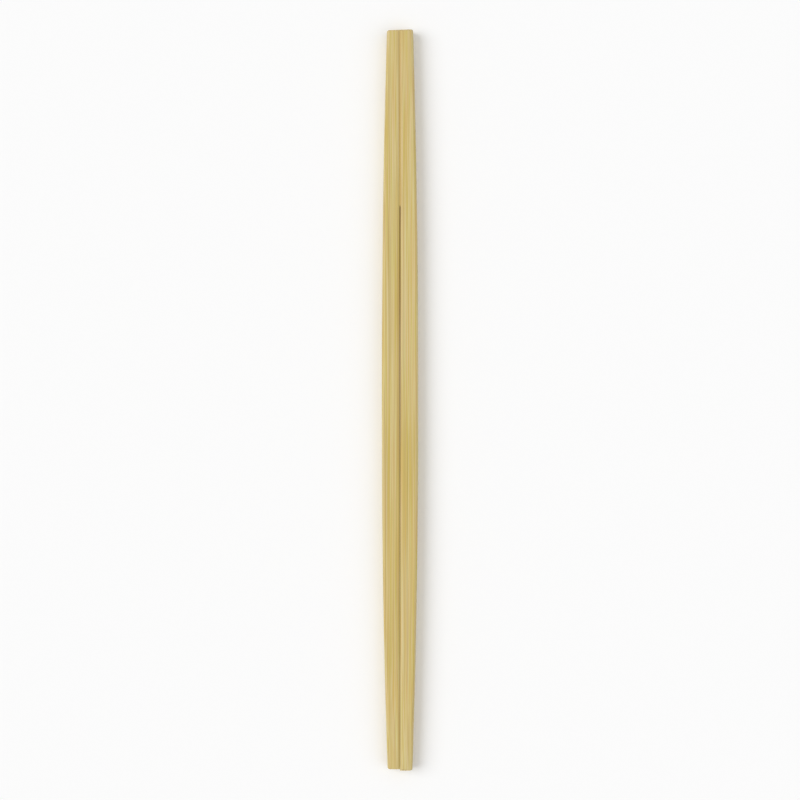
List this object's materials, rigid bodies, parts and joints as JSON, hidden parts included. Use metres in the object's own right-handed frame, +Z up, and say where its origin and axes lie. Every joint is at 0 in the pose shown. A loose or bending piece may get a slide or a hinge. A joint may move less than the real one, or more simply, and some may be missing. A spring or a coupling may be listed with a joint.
{
  "type": "pair of wooden chopsticks",
  "caption": "Disposable wooden chopsticks joined at the head end, bowed along both sides, grooved down the middle and slit from the tips, to be snapped apart for eating.",
  "frame": {"origin": "under the middle of the pair, on the surface that its lower face rests on", "axes": "+Y along the pair to the joined head end, +X across the pair, +Z up out of the upper face"},
  "size_m": [0.0118, 0.24, 0.0056],
  "materials": {
    "bamboo": "planed and tumbled, bare, satin"
  },
  "bodies": {
    "root": {"chopstick_pair": "bamboo"}
  },
  "joints": []
}
